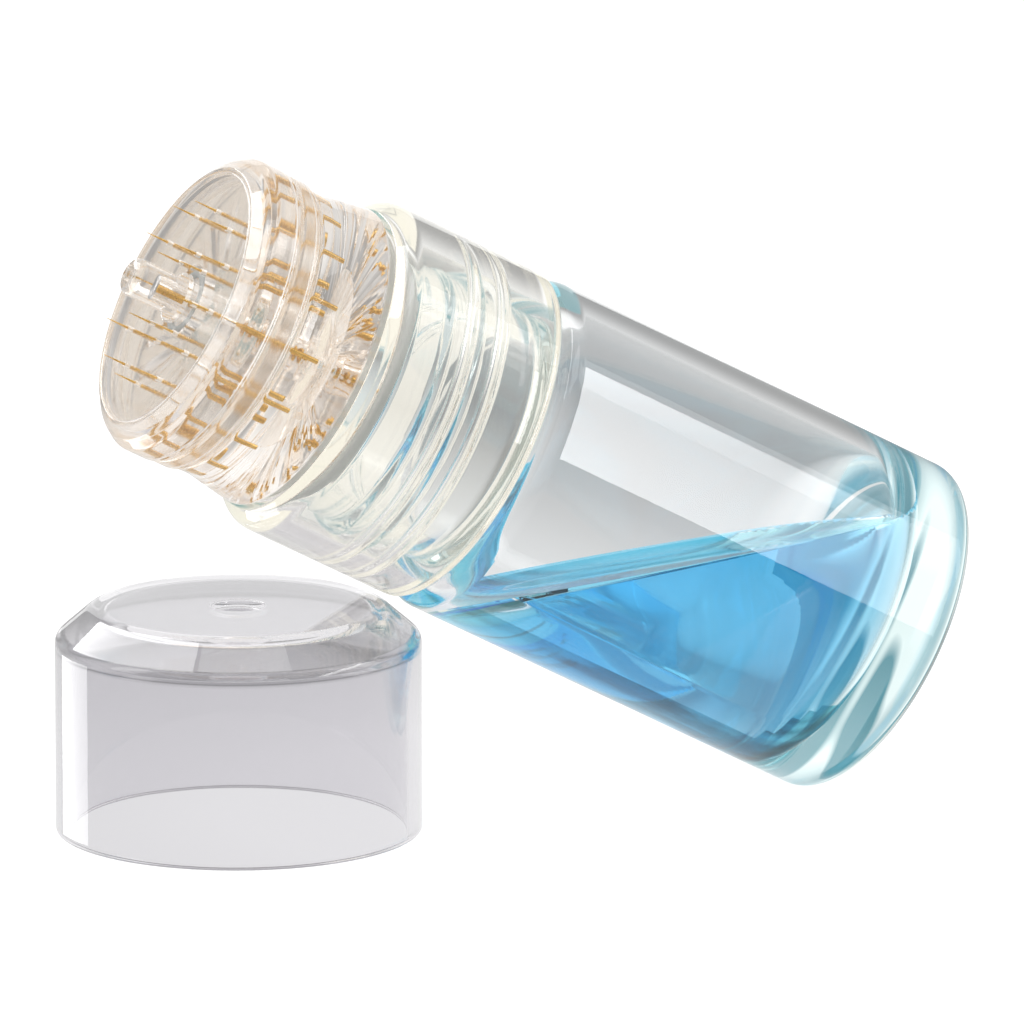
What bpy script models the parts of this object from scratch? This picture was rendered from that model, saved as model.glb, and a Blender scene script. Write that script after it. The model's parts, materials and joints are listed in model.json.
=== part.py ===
"""Needle-tipped serum applicator: glass bottle, screw-on needle head and overcap.

The bottle leans with its shoulder on the standing overcap.  The origin is on the floor under
the middle of the whole group.  +X runs from the needles towards the bottle's base, and the
bottle's axis lies in the XZ plane.  Most pieces are turned about that axis: they are drawn as
(radius, station) profiles in millimetres, where a station is a distance from the base plane
towards the needles, and they hang from an empty that carries the lean.
"""

from math import cos, pi, radians, sin

import bmesh
import bpy
from mathutils import Matrix, Vector

MM = 0.001
MERGE = 0.00001
GAP = 0.3

COLLECTION_NAME = "serum_applicator"
CUTTER_COLLECTION_NAME = "cutters"

# Glass bottle
LEAN = radians(28)
BOTTLE_RADIUS = 12.5
BOTTLE_WALL = 1.3
BASE_CORNER = 1.5
BASE_THICKNESS = 3.4
BASE_RISE = 1.0
CAVITY_CORNER = 1.6
SHOULDER_STATION = 34.4
SHOULDER_CORNER = 1.2
SHOULDER_WALL = 1.0
NECK_EDGE = 0.4
NECK_RADIUS = 9.5
NECK_BORE = 7.6
MOUTH_STATION = 45.6

# Screw thread shared by the bottle's neck and the collar
THREAD_PITCH = 2.4
THREAD_DEPTH = 0.8
THREAD_ROOT_WIDTH = 1.0
THREAD_CREST_WIDTH = 0.45
THREAD_TURNS = 2.0
THREAD_STEPS_PER_TURN = 20
THREAD_LEAD_IN = 0.125
THREAD_LEAST_HEIGHT = 0.15
THREAD_ROOT_OVERLAP = 0.15
THREAD_START = 38.6
COLLAR_BORE = 10.65

# Screw collar
COLLAR_START = 35.1
COLLAR_FRONT = 48.4
COLLAR_CORNER = 1.5
COLLAR_EDGE = 0.4
COLLAR_CEILING = 46.7
COLLAR_HOLE = 4.8

# Serum: where its surface crosses the bottle's axis, and how far the surface is from level
SURFACE_STATION = 13.4
SURFACE_BACKWARD = radians(10.9)
SURFACE_SIDEWAYS = radians(5.7)
AIR_BLOCK = 90

# Needle head
WAIST_START = 48.7
WAIST_END = 53.7
WAIST_FOOT_RADIUS = 11.35
WAIST_FOOT_END = 49.9
WAIST_NARROW_RADIUS = 10.8
WAIST_NARROW = (51.4, 52.2)
WAIST_TOP_RADIUS = 11.0
WAIST_EDGE = 0.2
RING_BACK = 56.2
RING_BEVEL = (0.4, 0.6)
RING_EDGE = 0.5
FACE_STATION = 59.3
FACE_RADIUS = 9.2
FACE_BACK = 57.9
HEAD_RADIUS = 11.1
HEAD_BORE = 9.5
HOLDER_BACK = 54.1
HOLDER_FRONT = 57.6
SILICONE_START = 54.0
SILICONE_END = 55.9

# Needles
NEEDLE_RADIUS = 0.16
NEEDLE_TAIL = 50.6
NEEDLE_TIP = 61.0
NEEDLE_TAPER_START = 57.4
NEEDLE_HOLE = 0.46
OUTER_CIRCLE = (12, 6.6, radians(3.0))
INNER_CIRCLE = (8, 3.3, radians(3.0))

# Valve
BUTTON_RADIUS = 1.4
BUTTON_TIP = 63.2
BUTTON_FLANGE_RADIUS = 2.3
BUTTON_FLANGE = (56.2, 56.8)
STEM_BORE = 1.75
FLANGE_BORE = 2.65
ROD_RADIUS = 0.3
ROD_BORE = 0.6
ROD_START = 54.45
ROD_END = 61.0
VALVE_RADIUS = 2.3
VALVE_BORE = 0.85
VALVE_SEAT_BORE = 0.5
VALVE_FRONT = 54.7
VALVE_SEAT = (53.95, 54.3)
VALVE_FLANGE_RADIUS = 4.5
VALVE_FLANGE_SLOPE = 0.2
VALVE_BACK = 47.0
VALVE_FLANGE_FRONT = 48.9
BALL_RADIUS = 0.55
BALL_STATION = 53.6
SPRING_RADIUS = 0.44
SPRING_WIRE = 0.11
SPRING_SPAN = (50.55, 52.75)
SPRING_TURNS = 5
SPRING_STEPS_PER_TURN = 10
SEAT_PLUG_SPAN = (49.45, 50.25)
SEAT_PLUG_RADIUS = 0.8
SEAT_PLUG_HOLE = 0.3
SEAT_POCKET = (49.15, 50.4)
SEAL_STATION = 57.35
SEAL_RADIUS = 2.1
SEAL_WIRE = 0.24

# Overcap
CAP_RADIUS = 12.85
CAP_WALL = 1.0
CAP_HEIGHT = 16.0
CAP_SIDE_HEIGHT = 13.8
CAP_TOP_RADIUS = 9.8
CAP_TOP_THICKNESS = 1.2
CAP_DIMPLE_RADIUS = 1.8
CAP_DIMPLE_DEPTH = 0.6

SEGMENTS = 36
VALVE_SEGMENTS = 24
SMALL_SEGMENTS = 16
PIN_SEGMENTS = 8

CLEAR = (0.92, 0.94, 0.93, 1)
WARM_CLEAR = (0.94, 0.92, 0.89, 1)
GOLD = (0.83, 0.56, 0.20, 1)


# --- scene ---------------------------------------------------------------------------------

def clear_scene():
    for old in list(bpy.data.objects):
        bpy.data.objects.remove(old, do_unlink=True)


def make_collection(name):
    collection = bpy.data.collections.new(name)
    bpy.context.scene.collection.children.link(collection)
    return collection


def make_material(name, colour, roughness, metallic=0.0, transmission=0.0):
    material = bpy.data.materials.new(name)
    material.use_nodes = True
    shader = material.node_tree.nodes["Principled BSDF"]
    shader.inputs["Base Color"].default_value = colour
    shader.inputs["Roughness"].default_value = roughness
    shader.inputs["Metallic"].default_value = metallic
    shader.inputs["Transmission Weight"].default_value = transmission
    return material


def add_object(name, mesh, parent, material=None):
    piece = bpy.data.objects.new(name, mesh)
    parts.objects.link(piece)
    piece.parent = parent
    if material:
        mesh.materials.append(material)
    return piece


def make_cutter(name, mesh, parent):
    cutter = bpy.data.objects.new(name, mesh)
    cutters.objects.link(cutter)
    cutter.parent = parent
    cutter.hide_render = True
    cutter.display_type = "WIRE"
    return cutter


def add_boolean(piece, other, operation):
    modifier = piece.modifiers.new(operation.lower(), "BOOLEAN")
    modifier.operation = operation
    modifier.solver = "EXACT"
    modifier.object = other


# --- profiles ------------------------------------------------------------------------------

def arc(centre, radius, start, end, steps=3):
    """Points on an arc in a profile, from one angle in degrees to another."""
    points = []
    for step in range(steps + 1):
        angle = radians(start + (end - start) * step / steps)
        points.append((centre[0] + radius * cos(angle), centre[1] + radius * sin(angle)))
    return points


def outline_mesh(name, points, closed, base):
    """A chain of edges in the XZ plane; stations are measured from the base station."""
    mesh = bpy.data.meshes.new(name)
    places = [(radius * MM, 0, (station - base) * MM) for radius, station in points]
    edges = [(index, index + 1) for index in range(len(points) - 1)]
    if closed:
        edges.append((len(points) - 1, 0))
    mesh.from_pydata(places, edges, [])
    return mesh


def add_screw(piece, segments):
    screw = piece.modifiers.new("turn", "SCREW")
    screw.axis = "Z"
    screw.steps = segments
    screw.render_steps = segments
    screw.use_merge_vertices = True
    screw.merge_threshold = MERGE
    screw.use_smooth_shade = True


def turned(name, points, parent, material, closed=True, segments=SEGMENTS, base=0.0):
    """A turned piece.  The profile runs down its outer side; an open one ends on the axis."""
    piece = add_object(name, outline_mesh(name, points, closed, base), parent, material)
    piece.location.z = base * MM
    add_screw(piece, segments)
    return piece


def washer(inner, outer, low, high):
    """The profile of a plain ring."""
    return [(outer, high), (outer, low), (inner, low), (inner, high)]


# --- thread --------------------------------------------------------------------------------

def thread_mesh(name, root_radius, crest_radius, start, turns):
    """A closed helical ridge, tapered to a point at both ends."""
    steps = int(turns * THREAD_STEPS_PER_TURN)
    tool = bmesh.new()
    rings = []
    for step in range(steps + 1):
        share = step / steps
        fade = max(THREAD_LEAST_HEIGHT, min(1.0, share / THREAD_LEAD_IN, (1 - share) / THREAD_LEAD_IN))
        angle = 2 * pi * turns * share
        height = start + THREAD_PITCH * turns * share
        crest = root_radius + (crest_radius - root_radius) * fade
        ridge = [(root_radius, -THREAD_ROOT_WIDTH / 2), (crest, -THREAD_CREST_WIDTH / 2),
                 (crest, THREAD_CREST_WIDTH / 2), (root_radius, THREAD_ROOT_WIDTH / 2)]
        ring = []
        for radius, offset in ridge:
            place = (radius * cos(angle), radius * sin(angle), height + offset)
            ring.append(tool.verts.new(Vector(place) * MM))
        rings.append(ring)
    for before, after in zip(rings, rings[1:]):
        for index in range(4):
            follow = (index + 1) % 4
            tool.faces.new((before[index], before[follow], after[follow], after[index]))
    tool.faces.new(rings[0])
    tool.faces.new(rings[-1])
    bmesh.ops.recalc_face_normals(tool, faces=tool.faces)
    mesh = bpy.data.meshes.new(name)
    tool.to_mesh(mesh)
    tool.free()
    return mesh


# --- bottle --------------------------------------------------------------------------------

def bottle_cavity(inset):
    """The inside of the bottle from the floor's centre to the mouth, shrunk by an inset."""
    radius = BOTTLE_RADIUS - BOTTLE_WALL - inset
    neck = NECK_BORE - inset
    floor = BASE_THICKNESS + inset
    corner = CAVITY_CORNER - inset
    shoulder = SHOULDER_STATION - SHOULDER_WALL
    points = [(0, floor), (radius * 0.55, floor - BASE_RISE * 0.3)]
    points += arc((radius - corner, floor - BASE_RISE + corner), corner, -90, 0)
    points += [(radius, shoulder - SHOULDER_WALL), (radius - 0.3, shoulder - 0.3)]
    points += [(neck + 0.6, SHOULDER_STATION), (neck, SHOULDER_STATION + SHOULDER_WALL)]
    return points


def build_bottle(lean):
    glass = make_material("clear_glass", CLEAR, 0.03, transmission=1.0)
    corner = BOTTLE_RADIUS - SHOULDER_CORNER
    foot = BOTTLE_RADIUS - BASE_CORNER
    points = bottle_cavity(0.0)
    points += [(NECK_BORE, MOUTH_STATION - NECK_EDGE), (NECK_BORE + NECK_EDGE, MOUTH_STATION)]
    points += [(NECK_RADIUS - NECK_EDGE, MOUTH_STATION), (NECK_RADIUS, MOUTH_STATION - NECK_EDGE)]
    points += [(NECK_RADIUS, SHOULDER_STATION)]
    points += arc((corner, SHOULDER_STATION - SHOULDER_CORNER), SHOULDER_CORNER, 90, 0)
    points += arc((foot, BASE_CORNER), BASE_CORNER, 0, -90)
    points += [(0, 0)]
    bottle = turned("glass_bottle", points, lean, glass, closed=False)
    ridge = thread_mesh("neck_thread", NECK_RADIUS - THREAD_ROOT_OVERLAP,
                        NECK_RADIUS + THREAD_DEPTH, THREAD_START, THREAD_TURNS)
    add_boolean(bottle, make_cutter("neck_thread", ridge, lean), "UNION")
    return bottle


def build_serum(lean):
    """The liquid: the cavity's shape, less the air space above the liquid's surface.

    The surface falls away backwards and rises a little towards the bottle's base.
    """
    liquid = make_material("serum", (0.10, 0.55, 0.85, 1), 0.0, transmission=1.0)
    points = bottle_cavity(GAP)
    points.append((0, SHOULDER_STATION + SHOULDER_WALL))
    serum = turned("serum", points[::-1], lean, liquid, closed=False)
    tool = bmesh.new()
    above = Matrix.Translation(Vector((0, 0, AIR_BLOCK / 2)) * MM)
    bmesh.ops.create_cube(tool, size=AIR_BLOCK * MM, matrix=above)
    mesh = bpy.data.meshes.new("air_space")
    tool.to_mesh(mesh)
    tool.free()
    air = make_cutter("air_space", mesh, None)
    on_axis = Vector((-cos(LEAN), 0, sin(LEAN))) * SURFACE_STATION
    air.location = (base_place + on_axis) * MM
    air.rotation_euler = (-SURFACE_BACKWARD, -SURFACE_SIDEWAYS, 0)
    add_boolean(serum, air, "DIFFERENCE")
    return serum


# --- head ----------------------------------------------------------------------------------

def build_collar(head):
    plastic = make_material("collar_plastic", CLEAR, 0.08, transmission=1.0)
    corner = BOTTLE_RADIUS - COLLAR_CORNER
    points = [(COLLAR_HOLE, COLLAR_FRONT)]
    points += arc((corner, COLLAR_FRONT - COLLAR_CORNER), COLLAR_CORNER, 90, 0, 4)
    points += [(BOTTLE_RADIUS, COLLAR_START + COLLAR_EDGE), (BOTTLE_RADIUS - COLLAR_EDGE, COLLAR_START)]
    points += [(COLLAR_BORE + COLLAR_EDGE, COLLAR_START), (COLLAR_BORE, COLLAR_START + COLLAR_EDGE)]
    points += [(COLLAR_BORE, COLLAR_CEILING), (COLLAR_HOLE, COLLAR_CEILING)]
    collar = turned("screw_collar", points, head, plastic)
    ridge = thread_mesh("collar_thread", COLLAR_BORE + THREAD_ROOT_OVERLAP,
                        COLLAR_BORE - THREAD_DEPTH, THREAD_START - THREAD_PITCH / 2, THREAD_TURNS)
    add_boolean(collar, make_cutter("collar_thread", ridge, head), "UNION")
    return collar


def build_gasket(lean):
    rubber = make_material("gasket_silicone", (0.86, 0.87, 0.86, 1), 0.5)
    low = MOUTH_STATION + GAP
    high = COLLAR_CEILING - GAP
    return turned("neck_gasket", washer(NECK_BORE, NECK_RADIUS + 0.6, low, high), lean, rubber)


def build_waist_ring(head):
    """The thick waisted ring: it holds the needle tails and is recessed for the valve's flange."""
    plastic = make_material("head_plastic", WARM_CLEAR, 0.05, transmission=1.0)
    bore = VALVE_RADIUS + GAP
    recess = VALVE_FLANGE_RADIUS + GAP
    recess_end = VALVE_FLANGE_FRONT + GAP
    low, high = WAIST_NARROW
    points = [(WAIST_TOP_RADIUS, WAIST_END), (WAIST_NARROW_RADIUS, high), (WAIST_NARROW_RADIUS, low)]
    points += [(WAIST_FOOT_RADIUS, WAIST_FOOT_END), (WAIST_FOOT_RADIUS, WAIST_START + WAIST_EDGE)]
    points += [(WAIST_FOOT_RADIUS - WAIST_EDGE, WAIST_START), (recess, WAIST_START)]
    points += [(recess, recess_end), (bore, recess_end), (bore, WAIST_END)]
    waist = turned("waist_ring", points, head, plastic)
    drills = drill_mesh("waist_drills", NEEDLE_TAIL - GAP, WAIST_END + 1)
    add_boolean(waist, make_cutter("waist_drills", drills, head), "DIFFERENCE")
    return waist


def build_silicone_ring(head):
    silicone = make_material("pale_silicone", (0.88, 0.85, 0.80, 1), 0.45)
    profile = washer(HEAD_BORE - 0.1, HEAD_RADIUS - 0.1, SILICONE_START, SILICONE_END)
    return turned("silicone_ring", profile, head, silicone)


def build_front_ring(head):
    plastic = make_material("ring_plastic", WARM_CLEAR, 0.05, transmission=1.0)
    bore = FACE_RADIUS + GAP
    inward, down = RING_BEVEL
    bevel_foot = FACE_STATION - down
    points = [(bore + 0.1, FACE_STATION), (HEAD_RADIUS - inward, bevel_foot)]
    points += [(HEAD_RADIUS, bevel_foot - RING_EDGE)]
    points += [(HEAD_RADIUS, RING_BACK), (bore, RING_BACK), (bore, FACE_STATION - 0.1)]
    return turned("front_ring", points, head, plastic)


def circle_places(circle):
    """Where one ring of needles stands, as (x, y) in millimetres."""
    count, radius, phase = circle
    places = []
    for index in range(count):
        angle = phase + 2 * pi * index / count
        places.append((radius * cos(angle), radius * sin(angle)))
    return places


def needle_places():
    return circle_places(OUTER_CIRCLE) + circle_places(INNER_CIRCLE)


def drill_mesh(name, low, high):
    """One cutter body for each needle hole."""
    tool = bmesh.new()
    for x, y in needle_places():
        centre = Vector((x, y, (low + high) / 2)) * MM
        bmesh.ops.create_cone(tool, cap_ends=True, segments=8, radius1=NEEDLE_HOLE * MM,
                              radius2=NEEDLE_HOLE * MM, depth=(high - low) * MM,
                              matrix=Matrix.Translation(centre))
    mesh = bpy.data.meshes.new(name)
    tool.to_mesh(mesh)
    tool.free()
    return mesh


def build_face_disc(head):
    plastic = make_material("face_plastic", (0.95, 0.95, 0.94, 1), 0.06, transmission=1.0)
    profile = washer(STEM_BORE, FACE_RADIUS, FACE_BACK, FACE_STATION)
    disc = turned("face_disc", profile, head, plastic)
    drills = drill_mesh("face_drills", FACE_BACK - 1, FACE_STATION + 1)
    add_boolean(disc, make_cutter("face_drills", drills, head), "DIFFERENCE")
    return disc


def build_needle_holder(head):
    plastic = make_material("holder_plastic", WARM_CLEAR, 0.08, transmission=1.0)
    profile = washer(FLANGE_BORE, FACE_RADIUS - 0.1, HOLDER_BACK, HOLDER_FRONT)
    holder = turned("needle_holder", profile, head, plastic)
    drills = drill_mesh("holder_drills", HOLDER_BACK - 1, HOLDER_FRONT + 1)
    add_boolean(holder, make_cutter("holder_drills", drills, head), "DIFFERENCE")
    return holder


def build_needles(head):
    """Gold pins that share one mesh: a shank, a long taper and a fine point."""
    gold = make_material("needle_gold", GOLD, 0.25, metallic=1.0)
    points = [(0, NEEDLE_TIP), (NEEDLE_RADIUS * 0.3, NEEDLE_TIP - 0.25)]
    points += [(NEEDLE_RADIUS, NEEDLE_TAPER_START), (NEEDLE_RADIUS, NEEDLE_TAIL)]
    points += [(0, NEEDLE_TAIL)]
    mesh = outline_mesh("needle", points, False, NEEDLE_TAIL)
    mesh.materials.append(gold)
    for index, (x, y) in enumerate(needle_places(), start=1):
        needle = add_object("needle_%02d" % index, mesh, head)
        needle.location = Vector((x, y, NEEDLE_TAIL)) * MM
        add_screw(needle, PIN_SEGMENTS)


# --- valve ---------------------------------------------------------------------------------

def build_valve_body(head):
    plastic = make_material("valve_plastic", WARM_CLEAR, 0.08, transmission=1.0)
    pocket_low, pocket_high = SEAT_POCKET
    pocket = SEAT_PLUG_RADIUS + GAP
    inlet = SEAT_PLUG_RADIUS - 0.2
    rim = VALVE_FLANGE_FRONT - VALVE_FLANGE_SLOPE
    points = [(VALVE_RADIUS, VALVE_FRONT), (VALVE_RADIUS, VALVE_FLANGE_FRONT)]
    points += [(VALVE_FLANGE_RADIUS, rim), (VALVE_FLANGE_RADIUS, VALVE_BACK)]
    points += [(inlet, VALVE_BACK), (inlet, pocket_low), (pocket, pocket_low), (pocket, pocket_high)]
    points += [(VALVE_BORE, pocket_high + 0.1)]
    points += [(VALVE_BORE, VALVE_SEAT[0]), (VALVE_SEAT_BORE, VALVE_SEAT[1])]
    points += [(VALVE_SEAT_BORE, VALVE_FRONT)]
    return turned("valve_body", points, head, plastic, segments=VALVE_SEGMENTS)


def build_spring_seat(head):
    plastic = make_material("seat_plastic", WARM_CLEAR, 0.1, transmission=1.0)
    profile = washer(SEAT_PLUG_HOLE, SEAT_PLUG_RADIUS, *SEAT_PLUG_SPAN)
    return turned("spring_seat", profile, head, plastic, segments=SMALL_SEGMENTS)


def build_plunger_seal(head):
    rubber = make_material("seal_silicone", (0.80, 0.80, 0.78, 1), 0.4)
    points = arc((SEAL_RADIUS, SEAL_STATION), SEAL_WIRE, 90, -225, 7)
    return turned("plunger_seal", points, head, rubber, segments=SMALL_SEGMENTS)


def build_button(button):
    """The clear button: a domed stem with a flange that keeps it in the head."""
    plastic = make_material("button_plastic", WARM_CLEAR, 0.05, transmission=1.0)
    dome = arc((0, BUTTON_TIP - BUTTON_RADIUS), BUTTON_RADIUS, 90, 0, 4)
    low, high = BUTTON_FLANGE
    points = dome + [(BUTTON_RADIUS, high), (BUTTON_FLANGE_RADIUS, high)]
    points += [(BUTTON_FLANGE_RADIUS, low), (ROD_BORE, low), (ROD_BORE, ROD_END + GAP)]
    points += [(0, ROD_END + GAP)]
    return turned("valve_plunger", points, button, plastic, closed=False,
                  segments=SMALL_SEGMENTS, base=low)


def build_push_rod(button):
    gold = make_material("rod_gold", GOLD, 0.3, metallic=1.0)
    points = [(0, ROD_END), (ROD_RADIUS * 0.7, ROD_END), (ROD_RADIUS, ROD_END - 0.2)]
    points += [(ROD_RADIUS, ROD_START), (0, ROD_START)]
    return turned("push_rod", points, button, gold, closed=False, segments=PIN_SEGMENTS, base=ROD_START)


def build_ball(head):
    gold = make_material("ball_gold", GOLD, 0.15, metallic=1.0)
    tool = bmesh.new()
    bmesh.ops.create_uvsphere(tool, u_segments=12, v_segments=8, radius=BALL_RADIUS * MM)
    mesh = bpy.data.meshes.new("valve_ball")
    tool.to_mesh(mesh)
    tool.free()
    mesh.shade_smooth()
    ball = add_object("valve_ball", mesh, head, gold)
    ball.location.z = BALL_STATION * MM
    return ball


def build_spring(head):
    gold = make_material("spring_gold", GOLD, 0.25, metallic=1.0)
    curve = bpy.data.curves.new("valve_spring", "CURVE")
    curve.dimensions = "3D"
    curve.bevel_depth = SPRING_WIRE * MM
    curve.bevel_resolution = 1
    curve.use_fill_caps = True
    low, high = SPRING_SPAN
    steps = SPRING_TURNS * SPRING_STEPS_PER_TURN
    coil = curve.splines.new("POLY")
    coil.points.add(steps)
    for step in range(steps + 1):
        angle = 2 * pi * SPRING_TURNS * step / steps
        height = (high - low) * step / steps
        place = (SPRING_RADIUS * MM * cos(angle), SPRING_RADIUS * MM * sin(angle), height * MM)
        coil.points[step].co = (*place, 1)
    spring = bpy.data.objects.new("valve_spring", curve)
    parts.objects.link(spring)
    spring.parent = head
    spring.location.z = low * MM
    curve.materials.append(gold)
    return spring


# --- overcap -------------------------------------------------------------------------------

def cap_shoulder(inset):
    """The sloped shoulder with its soft edges, from the top face down to the side."""
    top = CAP_HEIGHT - (CAP_TOP_THICKNESS if inset else 0)
    side = CAP_RADIUS - inset
    inner = CAP_TOP_RADIUS - inset * 0.6
    foot = CAP_SIDE_HEIGHT - inset * 0.5
    return [(inner, top), (inner + 0.9, top - 0.25), (side - 0.55, foot + 0.7), (side, foot - 0.3)]


def build_overcap(cap_stand):
    plastic = make_material("cap_plastic", CLEAR, 0.04, transmission=1.0)
    dimple_floor = CAP_HEIGHT - CAP_DIMPLE_DEPTH
    points = [(0, dimple_floor), (CAP_DIMPLE_RADIUS - 0.2, dimple_floor)]
    points += [(CAP_DIMPLE_RADIUS, CAP_HEIGHT)]
    points += cap_shoulder(0.0)
    points += [(CAP_RADIUS, 0), (CAP_RADIUS - CAP_WALL, 0)]
    points += cap_shoulder(CAP_WALL)[::-1]
    points += [(0, CAP_HEIGHT - CAP_TOP_THICKNESS)]
    return turned("overcap", points, cap_stand, plastic, closed=False)


# --- layout --------------------------------------------------------------------------------

def cap_reach():
    """How far the cap's outline reaches towards the bottle, square to the bottle's axis."""
    return max(r * sin(LEAN) + z * cos(LEAN) for r, z in cap_shoulder(0.0))


def layout():
    """The base plane's centre and the cap's place, in millimetres.

    The base's rounded edge stands on the floor, the bottle's side rests on the cap's shoulder
    with a small gap, and the whole length is centred on the origin.
    """
    foot = BOTTLE_RADIUS - BASE_CORNER
    base_z = BASE_CORNER + foot * cos(LEAN) - BASE_CORNER * sin(LEAN)
    reach = BOTTLE_RADIUS + GAP + cap_reach()
    spread = (reach - base_z * cos(LEAN)) / sin(LEAN)
    overhang = foot * sin(LEAN) - BASE_CORNER * cos(LEAN) + BASE_CORNER
    base_x = (CAP_RADIUS - overhang + spread) / 2
    return Vector((base_x, 0, base_z)), Vector((base_x - spread, 0, 0))


def add_empty(name, parent=None):
    empty = bpy.data.objects.new(name, None)
    parts.objects.link(empty)
    empty.parent = parent
    return empty


clear_scene()
parts = make_collection(COLLECTION_NAME)
cutters = make_collection(CUTTER_COLLECTION_NAME)

base_place, cap_place = layout()
lean_axis = add_empty("lean_axis")
lean_axis.location = base_place * MM
lean_axis.rotation_euler.y = LEAN - pi / 2
head_axis = add_empty("head_axis", lean_axis)
button_axis = add_empty("button_axis", head_axis)
cap_stand = add_empty("cap_stand")
cap_stand.location = cap_place * MM

build_bottle(lean_axis)
build_serum(lean_axis)
build_gasket(lean_axis)
build_collar(head_axis)
build_waist_ring(head_axis)
build_silicone_ring(head_axis)
build_front_ring(head_axis)
build_face_disc(head_axis)
build_needle_holder(head_axis)
build_needles(head_axis)
build_valve_body(head_axis)
build_spring_seat(head_axis)
build_plunger_seal(head_axis)
build_spring(head_axis)
build_ball(head_axis)
build_button(button_axis)
build_push_rod(button_axis)
build_overcap(cap_stand)
bpy.context.view_layer.update()
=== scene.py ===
"""Looks for the needle-tipped serum applicator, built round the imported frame.

The clear pieces are turned again as fine closed meshes with real threads and soft moulded
edges.  Their profiles are (radius, station, edge radius) corners in millimetres; a station is
a distance along the bottle's axis from its base, or a height above the floor for the cap.
"""

import json
from math import ceil, cos, hypot, pi, radians, sin, tan

import bmesh
import bpy
import numpy as np
from mathutils import Matrix, Vector


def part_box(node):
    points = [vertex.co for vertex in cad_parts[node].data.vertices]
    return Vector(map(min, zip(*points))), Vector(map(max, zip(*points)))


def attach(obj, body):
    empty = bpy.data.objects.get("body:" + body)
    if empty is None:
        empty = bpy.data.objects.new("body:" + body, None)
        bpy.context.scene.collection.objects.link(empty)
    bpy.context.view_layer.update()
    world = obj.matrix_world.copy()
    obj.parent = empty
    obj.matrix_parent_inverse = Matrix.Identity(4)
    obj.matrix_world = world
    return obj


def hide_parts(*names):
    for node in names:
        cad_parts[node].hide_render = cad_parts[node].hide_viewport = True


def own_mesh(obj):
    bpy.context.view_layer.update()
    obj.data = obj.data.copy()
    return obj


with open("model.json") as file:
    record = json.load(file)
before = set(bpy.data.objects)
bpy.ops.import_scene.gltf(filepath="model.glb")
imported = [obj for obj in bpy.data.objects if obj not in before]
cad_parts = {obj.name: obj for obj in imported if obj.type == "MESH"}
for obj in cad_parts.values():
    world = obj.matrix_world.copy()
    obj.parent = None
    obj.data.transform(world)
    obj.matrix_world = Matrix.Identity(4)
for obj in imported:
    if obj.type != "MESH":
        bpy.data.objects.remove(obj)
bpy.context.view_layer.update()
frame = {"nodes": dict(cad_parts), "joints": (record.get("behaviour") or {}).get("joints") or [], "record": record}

MM = 0.001
FINE = 192
SMALL = 64
EDGE = 0.12
ARC_STEP = radians(10)

record = frame["record"]
mounts = {mount["name"]: mount for mount in record["mounts"]}
joints = {joint["name"]: joint for joint in frame["joints"]}


# --- places from the frame -------------------------------------------------------------------

def axis_frame(origin, direction):
    """A frame whose Z is the given direction and whose X lies on its upper side."""
    z_axis = Vector(direction).normalized()
    lift = Vector((0, 0, 1)) if abs(z_axis.z) < 0.9 else Vector((1, 0, 0))
    x_axis = (lift - z_axis * lift.dot(z_axis)).normalized()
    y_axis = z_axis.cross(x_axis)
    turn = Matrix((x_axis, y_axis, z_axis)).transposed().to_4x4()
    return Matrix.Translation(Vector(origin)) @ turn


BOTTLE = axis_frame(mounts["bottle_base"]["pos_m"], joints["head_turn"]["axis"])
BOTTLE_AXIS = BOTTLE.to_3x3() @ Vector((0, 0, 1))
cap_low, cap_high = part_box("overcap")
CAP = Matrix.Translation(Vector(((cap_low.x + cap_high.x) / 2, (cap_low.y + cap_high.y) / 2, 0)))


def local_places(node, place):
    """A CAD node's vertices as seen from a place, in millimetres."""
    inverse = place.inverted()
    return [(inverse @ vertex.co) / MM for vertex in frame["nodes"][node].data.vertices]


def extent(node, place=BOTTLE):
    """A node's lowest and highest station and its greatest radius, in millimetres."""
    places = local_places(node, place)
    stations = [p.z for p in places]
    return min(stations), max(stations), max(hypot(p.x, p.y) for p in places)


def bore(node, place=BOTTLE):
    """The least radius of a ring-shaped node, in millimetres."""
    return min(hypot(p.x, p.y) for p in local_places(node, place))


def liquid_surface():
    """A frame whose Z is square to the liquid's surface, found from the serum's CAD node."""
    faces = [face for face in frame["nodes"]["serum"].data.polygons if face.normal.z > 0.9]
    widest = max(faces, key=lambda face: face.area)
    return axis_frame(widest.center, widest.normal)


# --- turned meshes ---------------------------------------------------------------------------

def rounded(corners, closed):
    """Turns each inner corner into an arc of its edge radius, with a support point each side."""
    points = []
    last = len(corners) - 1
    for index, corner in enumerate(corners):
        here = Vector(corner[:2])
        if not closed and index in (0, last):
            points.append(here)
            continue
        radius = corner[2] if len(corner) > 2 else EDGE
        to_before = Vector(corners[index - 1][:2]) - here
        to_after = Vector(corners[(index + 1) % len(corners)][:2]) - here
        half = to_before.angle(to_after) / 2
        if pi / 2 - half < radians(1):
            points.append(here)
            continue
        run = min(radius / tan(half), 0.46 * to_before.length, 0.46 * to_after.length)
        radius = run * tan(half)
        to_before.normalize()
        to_after.normalize()
        centre = here + (to_before + to_after).normalized() * radius / sin(half)
        start = here + to_before * run - centre
        sweep = pi - 2 * half
        side = 1 if to_before.x * to_after.y - to_before.y * to_after.x < 0 else -1
        steps = max(3, ceil(sweep / ARC_STEP))
        points.append(here + to_before * run * 1.08)
        for step in range(steps + 1):
            angle = side * sweep * step / steps
            turned = Vector((start.x * cos(angle) - start.y * sin(angle),
                             start.x * sin(angle) + start.y * cos(angle)))
            points.append(centre + turned)
        points.append(here + to_after * run * 1.08)
    return points


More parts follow.
